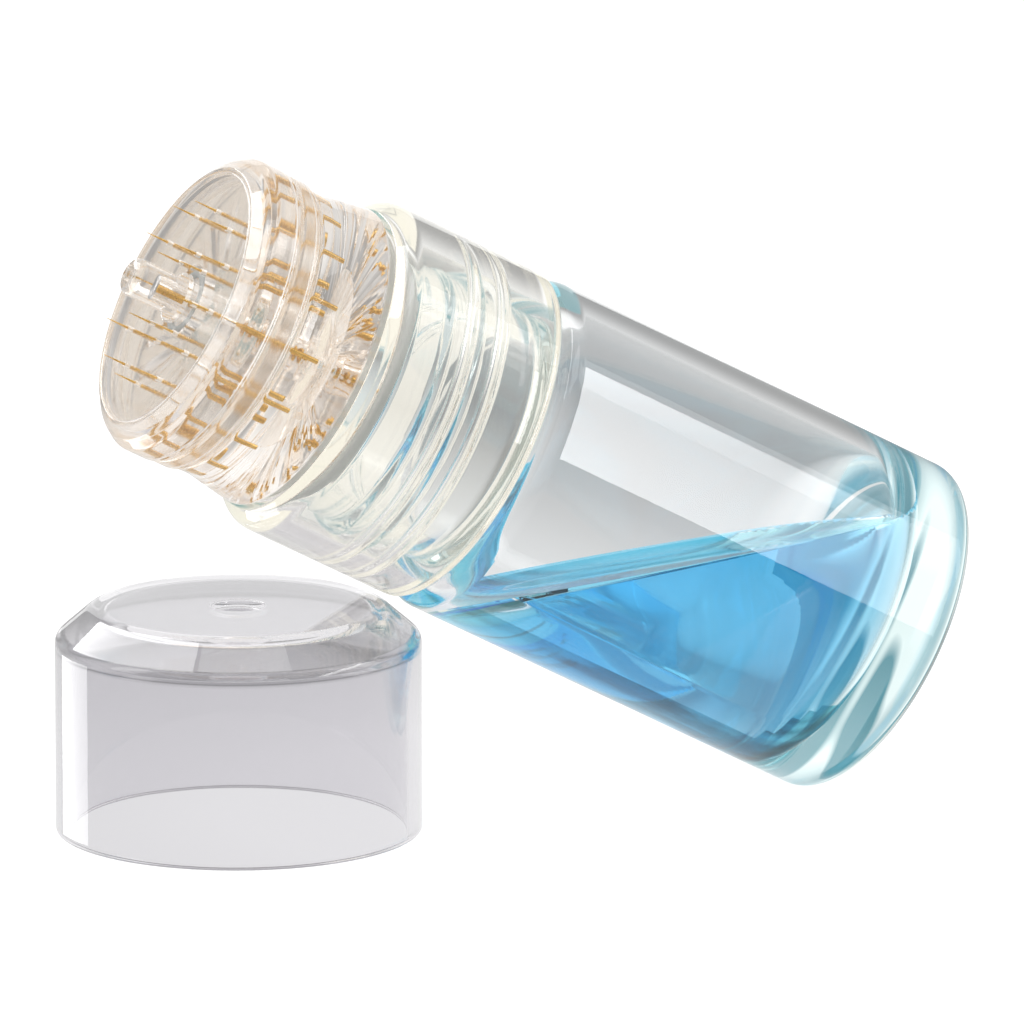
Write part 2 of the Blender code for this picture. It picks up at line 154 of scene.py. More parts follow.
def ladder(radius, first, last, step=0.12):
    """Closely spaced corners along a straight wall, for a thread to rise from."""
    count = max(2, ceil(abs(last - first) / step))
    return [(radius, first + (last - first) * i / count, 0) for i in range(count + 1)]


def lathe(name, corners, closed=True, place=BOTTLE, steps=FINE, relief=None):
    """One closed turned mesh.  A relief gives the change of radius at (angle, station, radius)."""
    tool = bmesh.new()
    rings = []
    for point in rounded(corners, closed):
        radius, station = point
        if radius < 1e-4:
            rings.append([tool.verts.new(place @ Vector((0, 0, station * MM)))])
            continue
        ring = []
        for step in range(steps):
            angle = 2 * pi * step / steps
            grown = radius + (relief(angle, station, radius) if relief else 0)
            spot = Vector((grown * cos(angle), grown * sin(angle), station)) * MM
            ring.append(tool.verts.new(place @ spot))
        rings.append(ring)
    pairs = list(zip(rings, rings[1:]))
    if closed:
        pairs.append((rings[-1], rings[0]))
    for before, after in pairs:
        for step in range(steps):
            follow = (step + 1) % steps
            corner_list = [before[step % len(before)], before[follow % len(before)],
                           after[follow % len(after)], after[step % len(after)]]
            unique = list(dict.fromkeys(corner_list))
            if len(unique) > 2:
                tool.faces.new(unique)
    bmesh.ops.recalc_face_normals(tool, faces=tool.faces)
    return mesh_object(name, tool)


def mesh_object(name, tool):
    mesh = bpy.data.meshes.new(name)
    tool.to_mesh(mesh)
    tool.free()
    mesh.shade_smooth()
    piece = bpy.data.objects.new(name, mesh)
    bpy.context.scene.collection.objects.link(piece)
    return piece


def settle(piece, material, body, *nodes):
    """Gives a new piece its material and its body, and hides the CAD nodes that it stands for."""
    piece.data.materials.clear()
    piece.data.materials.append(material)
    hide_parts(*nodes)
    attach(piece, body)
    return piece


# --- materials -------------------------------------------------------------------------------

def new_material(name):
    """A new material with its nodes, its links, its shader and its output."""
    material = bpy.data.materials.new(name)
    material.use_nodes = True
    nodes = material.node_tree.nodes
    links = material.node_tree.links
    return material, nodes, links, nodes["Principled BSDF"], nodes["Material Output"]


def noise(nodes, links, scale, detail=3.0, stretch=(1, 1, 1)):
    """Procedural noise in object space; its features are about 1 / scale metres wide."""
    where = nodes.new("ShaderNodeTexCoord")
    mapping = nodes.new("ShaderNodeMapping")
    mapping.inputs["Scale"].default_value = stretch
    links.new(where.outputs["Object"], mapping.inputs["Vector"])
    texture = nodes.new("ShaderNodeTexNoise")
    texture.inputs["Scale"].default_value = scale
    texture.inputs["Detail"].default_value = detail
    links.new(mapping.outputs["Vector"], texture.inputs["Vector"])
    return texture.outputs["Fac"]


def feed(links, target, value):
    """Sets a node's input from another node's output, a colour or a number."""
    if isinstance(value, bpy.types.NodeSocket):
        links.new(value, target)
    elif isinstance(value, tuple):
        target.default_value = (*value, 1)
    else:
        target.default_value = value


def maths(nodes, links, operation, first, second=0.0):
    node = nodes.new("ShaderNodeMath")
    node.operation = operation
    feed(links, node.inputs[0], first)
    feed(links, node.inputs[1], second)
    return node.outputs["Value"]


def along(nodes, links, vector, direction):
    """How far a vector reaches along a fixed direction."""
    node = nodes.new("ShaderNodeVectorMath")
    node.operation = "DOT_PRODUCT"
    links.new(vector, node.inputs[0])
    node.inputs[1].default_value = direction
    return node.outputs["Value"]


def length(nodes, links, vector):
    node = nodes.new("ShaderNodeVectorMath")
    node.operation = "LENGTH"
    links.new(vector, node.inputs[0])
    return node.outputs["Value"]


def mix_colour(nodes, links, share, first, second):
    node = nodes.new("ShaderNodeMix")
    node.data_type = "RGBA"
    feed(links, node.inputs[0], share)
    feed(links, node.inputs[6], first)
    feed(links, node.inputs[7], second)
    return node.outputs[2]


def mix_shader(nodes, links, share, first, second):
    node = nodes.new("ShaderNodeMixShader")
    links.new(share, node.inputs["Fac"])
    links.new(first, node.inputs[1])
    links.new(second, node.inputs[2])
    return node.outputs["Shader"]


def emission(nodes, links, colour, strength=1.0):
    node = nodes.new("ShaderNodeEmission")
    feed(links, node.inputs["Color"], colour)
    feed(links, node.inputs["Strength"], strength)
    return node.outputs["Emission"]


def remap(nodes, links, value, low, high, start=0.3, end=0.7):
    span = nodes.new("ShaderNodeMapRange")
    span.inputs["From Min"].default_value = start
    span.inputs["From Max"].default_value = end
    span.inputs["To Min"].default_value = low
    span.inputs["To Max"].default_value = high
    links.new(value, span.inputs["Value"])
    return span.outputs["Result"]


def bump(nodes, links, shader, height, distance_mm):
    node = nodes.new("ShaderNodeBump")
    node.inputs["Distance"].default_value = distance_mm * MM
    links.new(height, node.inputs["Height"])
    links.new(node.outputs["Normal"], shader.inputs["Normal"])


SMUDGE_SCALE = 320
LEAST_SMUDGE = 0.5
MOST_SMUDGE = 1.8
RIPPLE_SCALE = 150
# painted light: strength of the glow that the serum gives off, though it is no lamp
SERUM_GLOW = 9.0
SOFT_RAY_DENSITY = 0.04
# Painted light on the bottle's base: a bright glow seen from inside the glass, with painted dark arcs of shade
# towards its rim.
PAINTED_GLOW_DEPTH = 0.7
PAINTED_GLOW_SHARE = 0.7
BASE_SWIRL_SCALE = 130
BASE_RIM_START = 6.5
BASE_RIM_END = 9.8
PAINTED_GLOW_CORE = (1.15, 1.3, 1.3)
PAINTED_SHADE_ARCS = (0.015, 0.28, 0.37)


def painted_base_glow(nodes, links, surface):
    """Painted light: a glow on the glass base, as of light gathered from the table, with painted dark arcs of
    shade towards its rim, seen only from inside the glass.
    """
    geometry = nodes.new("ShaderNodeNewGeometry")
    above = nodes.new("ShaderNodeVectorMath")
    above.operation = "SUBTRACT"
    above.inputs[1].default_value = BOTTLE.translation
    links.new(geometry.outputs["Position"], above.inputs[0])
    station = along(nodes, links, above.outputs["Vector"], BOTTLE_AXIS)
    is_low = maths(nodes, links, "LESS_THAN", station, PAINTED_GLOW_DEPTH * MM)
    is_inside = maths(nodes, links, "MULTIPLY", is_low, geometry.outputs["Backfacing"])
    share = maths(nodes, links, "MULTIPLY", is_inside, PAINTED_GLOW_SHARE)
    swirl = noise(nodes, links, BASE_SWIRL_SCALE, detail=1.0, stretch=(1, 1, 0.4))
    bands = remap(nodes, links, swirl, 0.0, 1.0, 0.56, 0.62)
    away = length(nodes, links, above.outputs["Vector"])
    rim = remap(nodes, links, away, 0.0, 1.0, BASE_RIM_START * MM, BASE_RIM_END * MM)
    arcs = maths(nodes, links, "MAXIMUM", bands, rim)
    shine = emission(nodes, links, mix_colour(nodes, links, arcs, PAINTED_GLOW_CORE, PAINTED_SHADE_ARCS))
    return mix_shader(nodes, links, share, surface, shine)


SURFACE_FACING = 0.8
STREAK_SCALE = 90
# Painted shade on the liquid's top surface: cyan and dark teal streaks.
PAINTED_SHADE_CYAN = (0.18, 0.70, 0.80)
PAINTED_SHADE_TEAL = (0.004, 0.12, 0.16)


def painted_surface_shade(nodes, links, shader):
    """Painted shade: cyan and dark teal streaks that tint what is seen through and off the liquid's upper surface
    alone.
    """
    geometry = nodes.new("ShaderNodeNewGeometry")
    upward = liquid_surface().to_3x3() @ Vector((0, 0, 1))
    facing = along(nodes, links, geometry.outputs["True Normal"], upward)
    size = maths(nodes, links, "ABSOLUTE", facing)
    is_top = maths(nodes, links, "GREATER_THAN", size, SURFACE_FACING)
    bands = noise(nodes, links, STREAK_SCALE, stretch=(0.6, 3.0, 1))
    share = remap(nodes, links, bands, 0.0, 1.0, 0.46, 0.60)
    streaks = mix_colour(nodes, links, share, PAINTED_SHADE_CYAN, PAINTED_SHADE_TEAL)
    tint = mix_colour(nodes, links, is_top, (1, 1, 1), streaks)
    links.new(tint, shader.inputs["Base Color"])
    links.new(tint, shader.inputs["Specular Tint"])


def clear_volume(nodes, links, colour, density, soft_ray, glow):
    """Colour that deepens with thickness, and hardly at all for the rays that make shadows."""
    depth = nodes.new("ShaderNodeVolumeAbsorption")
    feed(links, depth.inputs["Color"], colour)
    thin = remap(nodes, links, soft_ray, density, density * SOFT_RAY_DENSITY, 0, 1)
    links.new(thin, depth.inputs["Density"])
    if not glow:
        return depth.outputs["Volume"]
    # painted light: the liquid glows from inside
    both = nodes.new("ShaderNodeAddShader")
    links.new(depth.outputs["Volume"], both.inputs[0])
    links.new(emission(nodes, links, glow, SERUM_GLOW), both.inputs[1])
    return both.outputs["Shader"]


def clear_material(name, tint, ior, roughness, ripple, ambient, deep=10, absorb=None, density=0.0,
                   shade=(0.96, 0.96, 0.96), glow=None, paint_base_glow=False, paint_surface_shade=False):
    """A clear material: tinted refraction, faint ripple and smudges, and light shadows.

    The ripple is the height of the waves in the surface, in millimetres.  A ray that has already
    bounced more often than the deep limit sees the ambient colour, a painted light, so that light
    trapped in the piece does not turn black.  Absorb is the colour that thick parts take at the given
    density, shade is what shadow rays keep, and glow is a faint painted light given off from inside.
    """
    material, nodes, links, shader, output = new_material(name)
    feed(links, shader.inputs["Base Color"], tint)
    shader.inputs["Transmission Weight"].default_value = 1.0
    shader.inputs["IOR"].default_value = ior
    smudges = noise(nodes, links, SMUDGE_SCALE, detail=4.0)
    smooth = roughness * LEAST_SMUDGE
    dull = roughness * MOST_SMUDGE
    links.new(remap(nodes, links, smudges, smooth, dull), shader.inputs["Roughness"])
    waves = noise(nodes, links, RIPPLE_SCALE, detail=2.0, stretch=(1, 1, 1.6))
    bump(nodes, links, shader, waves, ripple)
    surface = shader.outputs["BSDF"]
    # painted shade: cyan and dark teal streaks on the liquid's top surface
    if paint_surface_shade:
        painted_surface_shade(nodes, links, shader)
    # painted light: the bottle's base glows, with painted dark arcs of shade
    if paint_base_glow:
        surface = painted_base_glow(nodes, links, surface)
    path = nodes.new("ShaderNodeLightPath")
    is_shadow = path.outputs["Is Shadow Ray"]
    soft_ray = maths(nodes, links, "MAXIMUM", is_shadow, path.outputs["Is Diffuse Ray"])
    see_through = nodes.new("ShaderNodeBsdfTransparent")
    feed(links, see_through.inputs["Color"], shade)
    surface = mix_shader(nodes, links, soft_ray, surface, see_through.outputs["BSDF"])
    # painted light: deep rays see the ambient colour as a glow
    is_deep = maths(nodes, links, "GREATER_THAN", path.outputs["Ray Depth"], deep)
    surface = mix_shader(nodes, links, is_deep, surface, emission(nodes, links, ambient))
    links.new(surface, output.inputs["Surface"])
    material.cycles.emission_sampling = "NONE"
    if absorb:
        volume = clear_volume(nodes, links, absorb, density, soft_ray, glow)
        links.new(volume, output.inputs["Volume"])
    return material


LIGHT_GOLD = (0.93, 0.64, 0.23)
DARK_GOLD = (0.55, 0.31, 0.08)
TONE_SCALE = 900
MARK_SCALE = 2600


def gold_material():
    """Gold plating with fine draw marks and slight colour variation."""
    material, nodes, links, shader, _ = new_material("gold_plating")
    shader.inputs["Metallic"].default_value = 1.0
    tone = mix_colour(nodes, links, noise(nodes, links, TONE_SCALE), LIGHT_GOLD, DARK_GOLD)
    links.new(tone, shader.inputs["Base Color"])
    marks = noise(nodes, links, MARK_SCALE)
    links.new(remap(nodes, links, marks, 0.16, 0.34), shader.inputs["Roughness"])
    bump(nodes, links, shader, marks, distance_mm=0.004)
    return material


SILICONE_SHADE = 0.93
SILICONE_TONE_SCALE = 260
SILICONE_GRAIN_SCALE = 1800


def silicone_material(name, colour, clearness):
    """Milky translucent silicone with a satin skin."""
    material, nodes, links, shader, _ = new_material(name)
    darker = tuple(share * SILICONE_SHADE for share in colour)
    tone = mix_colour(nodes, links, noise(nodes, links, SILICONE_TONE_SCALE), colour, darker)
    links.new(tone, shader.inputs["Base Color"])
    shader.inputs["Roughness"].default_value = 0.42
    shader.inputs["IOR"].default_value = 1.42
    shader.inputs["Transmission Weight"].default_value = clearness
    shader.inputs["Sheen Weight"].default_value = 0.1
    grain = noise(nodes, links, SILICONE_GRAIN_SCALE, detail=2.0)
    bump(nodes, links, shader, grain, distance_mm=0.006)
    return material


# the bottle glass carries the painted glow and painted shade arcs on its base
glass = clear_material("bottle_glass", tint=(0.97, 0.975, 0.98), ior=1.50, roughness=0.006,
                       ripple=0.0004, ambient=(0.27, 0.43, 0.47), absorb=(0.55, 0.85, 0.75),
                       density=12, paint_base_glow=True)
# the serum liquid carries painted shade streaks on its top surface
serum_liquid = clear_material("serum_liquid", tint=(1.0, 1.0, 1.0), ior=1.34, roughness=0.0,
                              ripple=0.002, ambient=(0.35, 0.75, 0.90), absorb=(0.03, 0.68, 0.88),
                              density=95, shade=(0.95, 0.98, 0.99), glow=(0.0, 0.50, 1.0),
                              paint_surface_shade=True)
cap_plastic = clear_material("cap_plastic", tint=(0.83, 0.82, 0.845), ior=1.49, roughness=0.02,
                             ripple=0.006, ambient=(0.90, 0.89, 0.90))
collar_plastic = clear_material("collar_plastic", tint=(0.98, 0.975, 0.955), ior=1.49,
                                roughness=0.03, ripple=0.010, ambient=(1.02, 0.97, 0.89), deep=5,
                                absorb=(0.85, 0.90, 0.60), density=12)
head_plastic = clear_material("head_plastic", tint=(0.98, 0.96, 0.94), ior=1.53, roughness=0.03,
                              ripple=0.008, ambient=(0.97, 0.92, 0.86), deep=12,
                              absorb=(0.90, 0.75, 0.55), density=8)
face_plastic = clear_material("face_plastic", tint=(0.98, 0.97, 0.96), ior=1.53, roughness=0.06,
                              ripple=0.010, ambient=(0.97, 0.93, 0.88), deep=14)
pale_silicone = clear_material("pale_silicone", tint=(0.99, 0.965, 0.93), ior=1.42,
                               roughness=0.14, ripple=0.012, ambient=(0.95, 0.91, 0.86))
button_plastic = clear_material("button_plastic", tint=(0.90, 0.885, 0.87), ior=1.53,
                                roughness=0.05, ripple=0.008, ambient=(0.80, 0.76, 0.72))
gold = gold_material()
gasket_silicone = silicone_material("gasket_silicone", colour=(0.86, 0.88, 0.84), clearness=0.4)


# --- thread ----------------------------------------------------------------------------------

PITCH = 2 * pi / record["behaviour"]["couplings"][0]["ratio"] / MM
THREAD_TURNS = 2.0
THREAD_START = 38.6
THREAD_HEIGHT = 0.8
THREAD_HALF_WIDTH = 0.5
THREAD_FADE = 0.12


def thread_relief(start, height, low, high, wall):
    """The change of radius that a helical ridge makes on a straight wall."""
    def relief(angle, station, radius):
        if abs(radius - wall) > 0.01 or not low < station < high:
            return 0.0
        best = 0.0
        for turn in range(ceil(THREAD_TURNS)):
            along = angle / (2 * pi) + turn
            if along > THREAD_TURNS:
                continue
            away = abs(station - start - PITCH * along) / THREAD_HALF_WIDTH
            fade = min(1.0, along / THREAD_FADE, (THREAD_TURNS - along) / THREAD_FADE)
            if away < 1:
                best = max(best, fade * (1 - away * away) ** 1.5)
        return height * best
    return relief


# --- bottle and serum ------------------------------------------------------------------------

_, mouth, body_radius = extent("glass_bottle")
collar_start, collar_front, collar_radius = extent("screw_collar")
WALL = 1.3
NECK = 9.5
NECK_BORE = 7.6
SHOULDER = collar_start - 0.7
BASE_THICKNESS = 3.1
BOWL_RISE = 0.8
BOWL_CORNER = 4.2


def cavity(grow):
    """The inside of the bottle, floor centre first; grow pushes it into the glass."""
    radius = body_radius - WALL + grow
    floor = BASE_THICKNESS - grow
    return [(0, floor), (radius * 0.3, floor, 4), (radius, floor + BOWL_RISE, BOWL_CORNER),
            (radius, SHOULDER - 0.9, 1.0), (NECK_BORE + grow, SHOULDER + 0.9, 1.0)]


def build_bottle():
    wall_low = SHOULDER + 1.0
    wall_high = mouth - 0.6
    corners = cavity(0.0)
    corners += [(NECK_BORE, mouth, 0.45), (NECK, mouth, 0.45)]
    corners += ladder(NECK, wall_high, wall_low)
    corners += [(NECK, SHOULDER, 0.4), (body_radius, SHOULDER, 1.2), (body_radius, 0, 1.5)]
    corners += [(body_radius - 3.0, 0, 1.0), (body_radius - 4.2, 0.22, 1.0), (0, 0.3)]
    relief = thread_relief(THREAD_START, THREAD_HEIGHT, wall_low, wall_high, NECK)
    bottle = lathe("bottle_glass", corners, closed=False, relief=relief)
    settle(bottle, glass, "bottle", "glass_bottle")


SERUM_GRIP = 0.06
MENISCUS_RISE = 0.8
MENISCUS_REACH = 1.8
MENISCUS_STEEPNESS = 2.2
WELD_REACH = 1e-6
LEVEL_TOLERANCE = 1e-7
SURFACE_RINGS = (0.985, 0.965, 0.94, 0.91, 0.87, 0.81, 0.72, 0.58, 0.38, 0.18)


def build_serum():
    """The liquid fills the cavity up to its level and climbs the glass in a thin meniscus."""
    surface = liquid_surface()
    corners = cavity(SERUM_GRIP) + [(0, SHOULDER + 0.9)]
    liquid = lathe("serum_liquid", corners, closed=False)
    tool = bmesh.new()
    tool.from_mesh(liquid.data)
    tool.transform(surface.inverted())
    rise = MENISCUS_RISE * MM
    everything = tool.verts[:] + tool.edges[:] + tool.faces[:]
    bmesh.ops.bisect_plane(tool, geom=everything, plane_co=(0, 0, rise), plane_no=(0, 0, 1),
                           clear_outer=True)
    bmesh.ops.remove_doubles(tool, verts=tool.verts, dist=WELD_REACH)
    rim = [vertex for vertex in tool.verts if abs(vertex.co.z - rise) < LEVEL_TOLERANCE]
    centre = sum((vertex.co for vertex in rim), Vector()) / len(rim)
    rim.sort(key=lambda vertex: np.arctan2(vertex.co.y - centre.y, vertex.co.x - centre.x))
    before = rim
    for share in SURFACE_RINGS:
        ring = []
        for edge in rim:
            inward = (edge.co - centre) * (1 - share)
            height = rise * np.exp(-inward.length / MM / MENISCUS_REACH * MENISCUS_STEEPNESS)
            spot = centre + (edge.co - centre) * share
            ring.append(tool.verts.new((spot.x, spot.y, height)))
        bridge(tool, before, ring)
        before = ring
    middle = tool.verts.new((centre.x, centre.y, 0))
    for index in range(len(before)):
        tool.faces.new((before[index], before[(index + 1) % len(before)], middle))
    tool.transform(surface)
    bmesh.ops.recalc_face_normals(tool, faces=tool.faces)
    tool.to_mesh(liquid.data)
    tool.free()
    liquid.data.shade_smooth()
    settle(liquid, serum_liquid, "bottle", "serum")


def bridge(tool, outer, inner):
    for index in range(len(outer)):
        follow = (index + 1) % len(outer)
        tool.faces.new((outer[index], outer[follow], inner[follow], inner[index]))


# --- head ------------------------------------------------------------------------------------

COLLAR_BORE = 10.65
COLLAR_HOLE = 4.8
COLLAR_CEILING = collar_front - 1.7


def build_collar():
    wall_low = collar_start + 0.6
    wall_high = COLLAR_CEILING - 0.6
    corners = [(COLLAR_HOLE, collar_front, 0.2), (collar_radius - 1.1, collar_front, 0.3)]
    corners += [(collar_radius, collar_front - 0.9, 1.3), (collar_radius, collar_start, 0.45)]
    corners += [(COLLAR_BORE, collar_start, 0.35)]
    corners += ladder(COLLAR_BORE, wall_low, wall_high)
    corners += [(COLLAR_BORE, COLLAR_CEILING, 0.4), (COLLAR_HOLE, COLLAR_CEILING, 0.2)]
    start = THREAD_START - PITCH / 2
    relief = thread_relief(start, -THREAD_HEIGHT, wall_low, wall_high, COLLAR_BORE)
    collar = lathe("collar", corners, relief=relief)
    settle(collar, collar_plastic, "head", "screw_collar")


def build_gasket():
    low, high, radius = extent("neck_gasket")
    inner = bore("neck_gasket")
    corners = [(radius, high, 0.2), (radius, low, 0.2), (inner, low, 0.2), (inner, high, 0.2)]
    settle(lathe("gasket", corners), gasket_silicone, "seal", "neck_gasket")


PRESS_FIT = 0.03
SILICONE_TRIM = 0.25
TUBE = 2.3
TUBE_FLANGE = 1.7


def build_waist_ring():
    low, _, radius = extent("waist_ring")
    high = extent("needle_holder")[0] + PRESS_FIT
    inner = TUBE - PRESS_FIT
    flange_low, _, flange = extent("valve_body")
    recess = flange - PRESS_FIT
    recess_end = flange_low + TUBE_FLANGE
    corners = [(radius - 0.55, high, 0.2), (radius - 0.62, high - 1.4, 4)]
    corners += [(radius - 0.12, low + 0.9, 2), (radius, low, 0.3), (recess, low, 0.15)]
    corners += [(recess, recess_end, 0.15), (inner, recess_end, 0.15), (inner, high, 0.15)]
    settle(lathe("waist", corners), head_plastic, "head", "waist_ring")


def build_silicone_ring():
    low, high, radius = extent("silicone_ring")
    inner = bore("silicone_ring")
    low += SILICONE_TRIM
    high -= SILICONE_TRIM / 2
    corners = [(radius, high, 0.3), (radius, low, 0.3), (inner, low, 0.15), (inner, high, 0.15)]
    settle(lathe("silicone_band", corners), pale_silicone, "head", "silicone_ring")


def build_front_ring():
    low, high, radius = extent("front_ring")
    inner = bore("front_ring")
    low -= SILICONE_TRIM
    corners = [(inner + 0.3, high, 0.2), (radius - 0.5, high - 0.6, 0.8), (radius, high - 1.4, 0.6)]
    corners += [(radius, low, 0.25), (inner, low, 0.15), (inner, high, 0.15)]
    settle(lathe("front_rim", corners), head_plastic, "head", "front_ring")


def needle_spots():
    """Each needle's node with its place across the axis, in millimetres."""
    spots = []
    for node in sorted(frame["nodes"]):
        if node.startswith("needle_") and node[-1].isdigit():
            places = local_places(node, BOTTLE)
            count = len(places)
            spots.append((node, sum(p.x for p in places) / count, sum(p.y for p in places) / count))
    return spots


HOLE_RADIUS = 0.20


def drill(piece, low, high):
    """Bores the needle holes through a disc."""
    tool = bmesh.new()
    for _, x, y in needle_spots():
        centre = BOTTLE @ Matrix.Translation(Vector((x, y, (low + high) / 2)) * MM)
        bmesh.ops.create_cone(tool, cap_ends=True, segments=24, radius1=HOLE_RADIUS * MM,
                              radius2=HOLE_RADIUS * MM, depth=(high - low + 1) * MM, matrix=centre)
    drills = mesh_object("drills", tool)
    cut = piece.modifiers.new("holes", "BOOLEAN")
    cut.operation = "DIFFERENCE"
    cut.solver = "EXACT"
    cut.object = drills
    bpy.context.view_layer.update()
    solved = piece.evaluated_get(bpy.context.evaluated_depsgraph_get())
    mesh = bpy.data.meshes.new_from_object(solved)
    piece.modifiers.clear()
    piece.data = mesh
    mesh.set_sharp_from_angle(angle=radians(40))
    bpy.data.objects.remove(drills)


def build_face():
    low, high, _ = extent("face_disc")
    radius = bore("front_ring") + PRESS_FIT
    inner = bore("face_disc")
    corners = [(inner, high, 0.1), (radius, high, 0.15), (radius, low, 0.15), (inner, low, 0.1)]
    face = lathe("face", corners)
    drill(face, low, high)
    settle(face, face_plastic, "head", "face_disc")


def build_holder():
    """The needle holder grips the valve tube and leaves room for the button in front of it."""
    low, high, _ = extent("needle_holder")
    radius = bore("front_ring") + PRESS_FIT
    inner = bore("needle_holder")
    grip = TUBE - PRESS_FIT
    step = extent("valve_body")[1]
    corners = [(inner, high, 0.1), (radius, high, 0.15), (radius, low, 0.15), (grip, low, 0.1)]
    corners += [(grip, step, 0.1), (inner, step, 0.1)]
    settle(lathe("holder", corners), head_plastic, "head", "needle_holder")


NEEDLE_TAPER = 3.6


def build_needles():
    """Gold pins with a long fine taper; each stands at its own node."""
    low, high, _ = extent("needle_01")
    radius = 0.16
    corners = [(0, high), (0.022, high - 0.05, 0.02), (0.07, high - NEEDLE_TAPER * 0.35, 8)]
    corners += [(radius, high - NEEDLE_TAPER, 6), (radius, low, 0.05), (0, low)]
    pin = lathe("pin", corners, closed=False, place=Matrix(), steps=24)
    for node, x, y in needle_spots():
        piece = bpy.data.objects.new("gold_" + node, pin.data.copy())
        bpy.context.scene.collection.objects.link(piece)
        piece.data.transform(BOTTLE @ Matrix.Translation(Vector((x, y, 0)) * MM))
        settle(piece, gold, "head", node)
    bpy.data.objects.remove(pin)


# --- valve -----------------------------------------------------------------------------------

def build_valve_body():
    low, high, flange = extent("valve_body")
    chamber = 0.85
    seat = 0.5
    inlet = 0.6
    pocket = 1.1
    corners = [(TUBE, high, 0.2), (TUBE, low + 1.9, 0.3), (flange, low + TUBE_FLANGE, 0.2)]
    corners += [(flange, low, 0.2)]
    corners += [(inlet, low), (inlet, low + 2.15), (pocket, low + 2.15), (pocket, low + 3.4)]
    corners += [(chamber, low + 3.5), (chamber, high - 0.75), (seat, high - 0.4), (seat, high, 0.1)]
    settle(lathe("valve_tube", corners, steps=SMALL), head_plastic, "head", "valve_body")


def build_spring_seat():
    low, high, radius = extent("spring_seat")
    inner = bore("spring_seat")
    corners = [(radius, high, 0.1), (radius, low, 0.1), (inner, low, 0.08), (inner, high, 0.08)]
    settle(lathe("spring_plug", corners, steps=SMALL), head_plastic, "head", "spring_seat")


def build_plunger_seal():
    low, high, radius = extent("plunger_seal")
    wire = (high - low) / 2
    inner = radius - 2 * wire
    corners = [(radius, high, wire), (radius, low, wire), (inner, low, wire), (inner, high, wire)]
    settle(lathe("button_seal", corners, steps=SMALL), gasket_silicone, "head", "plunger_seal")


def build_button():
    low, high, flange = extent("valve_plunger")
    _, rod_high, _ = extent("push_rod")
    stem = 1.4
    hole = 0.6
    corners = [(0, high), (stem, high, stem * 0.96), (stem, low + 0.6, 0.1)]
    corners += [(flange, low + 0.6, 0.15), (flange, low, 0.15), (hole, low, 0.1)]
    corners += [(hole, rod_high + 0.3, 0.25), (0, rod_high + 0.3)]
    button = lathe("button", corners, closed=False, steps=SMALL * 2)
    settle(button, button_plastic, "button", "valve_plunger")


def build_push_rod():
    low, high, radius = extent("push_rod")
    thin = radius * 0.8
    corners = [(0, high), (radius, high, 0.12), (radius, low + 4, 0.1)]
    corners += [(thin, low + 3.8, 0.1), (thin, low, 0.1), (0, low)]
    settle(lathe("gold_rod", corners, closed=False, steps=48), gold, "button", "push_rod")


def build_ball():
    low, high, radius = extent("valve_ball")
    corners = [(0, high), (radius, high, radius), (radius, low, radius), (0, low)]
    settle(lathe("gold_ball", corners, closed=False, steps=SMALL), gold, "ball", "valve_ball")


def build_spring():
    """A round-wire coil with its two end turns closed down flat."""
    low, high, radius = extent("valve_spring")
    wire = 0.11
    turns = 5
    steps = turns * 40
    tool = bmesh.new()
    before = None
    for step in range(steps + 1):
        share = step / steps
        angle = 2 * pi * turns * share
        rise = min(1.0, max(0.0, (share * turns - 0.6) / (turns - 1.2)))
        out = Vector((cos(angle), sin(angle), 0))
        centre = out * (radius - wire) + Vector((0, 0, low + wire + (high - low - 2 * wire) * rise))
        ring = []
        for side in range(12):
            roll = 2 * pi * side / 12
            spot = centre + (out * cos(roll) + Vector((0, 0, 1)) * sin(roll)) * wire
            ring.append(tool.verts.new(BOTTLE @ (spot * MM)))
        if before:
            bridge(tool, before, ring)
        else:
            tool.faces.new(ring)
        before = ring
    tool.faces.new(before)
    bmesh.ops.recalc_face_normals(tool, faces=tool.faces)
    spring = mesh_object("gold_spring", tool)
    settle(spring, gold, "head", "valve_spring")
    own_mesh(spring)


# --- overcap ---------------------------------------------------------------------------------

CAP_WALL = 1.0
CAP_SIDE = 13.8
CAP_TOP_RADIUS = 9.8
CAP_TOP_THICKNESS = 1.2
DIMPLE_RADIUS = 1.8
DIMPLE_DEPTH = 0.6


def build_overcap():
    low, high, radius = extent("overcap", CAP)
    inside = radius - CAP_WALL
    ceiling = high - CAP_TOP_THICKNESS
    corners = [(0, high - DIMPLE_DEPTH), (DIMPLE_RADIUS, high - DIMPLE_DEPTH, 0.25)]
    corners += [(DIMPLE_RADIUS + 0.1, high, 0.15), (CAP_TOP_RADIUS + 0.5, high, 1.6)]
    corners += [(radius, CAP_SIDE, 0.9), (radius, low, 0.2), (inside, low, 0.2)]
    corners += [(inside, CAP_SIDE - 0.6, 0.7), (CAP_TOP_RADIUS - 0.4, ceiling, 0.9), (0, ceiling)]
    settle(lathe("cap_shell", corners, closed=False, place=CAP), cap_plastic, "cap", "overcap")


# --- stage -----------------------------------------------------------------------------------

VIEW_AZIMUTH = radians(-19.8)
VIEW_ELEVATION = radians(12.5)
VIEW_DISTANCE = 1.0
VIEW_WIDTH = 0.0721
SENSOR_WIDTH = 36
VIEW_TARGET = Vector((0.0002, 0.0, 0.0211))


def toward(azimuth, elevation):
    """The direction from the object to a place at an azimuth and elevation."""
    flat = cos(elevation)
    return Vector((sin(azimuth) * flat, -cos(azimuth) * flat, sin(elevation)))


FLOOR_NEAR = 0.92
FLOOR_FAR = 0.36
FLOOR_FADE_START = 0.02
FLOOR_FADE_END = 0.17
SKY = 1.1


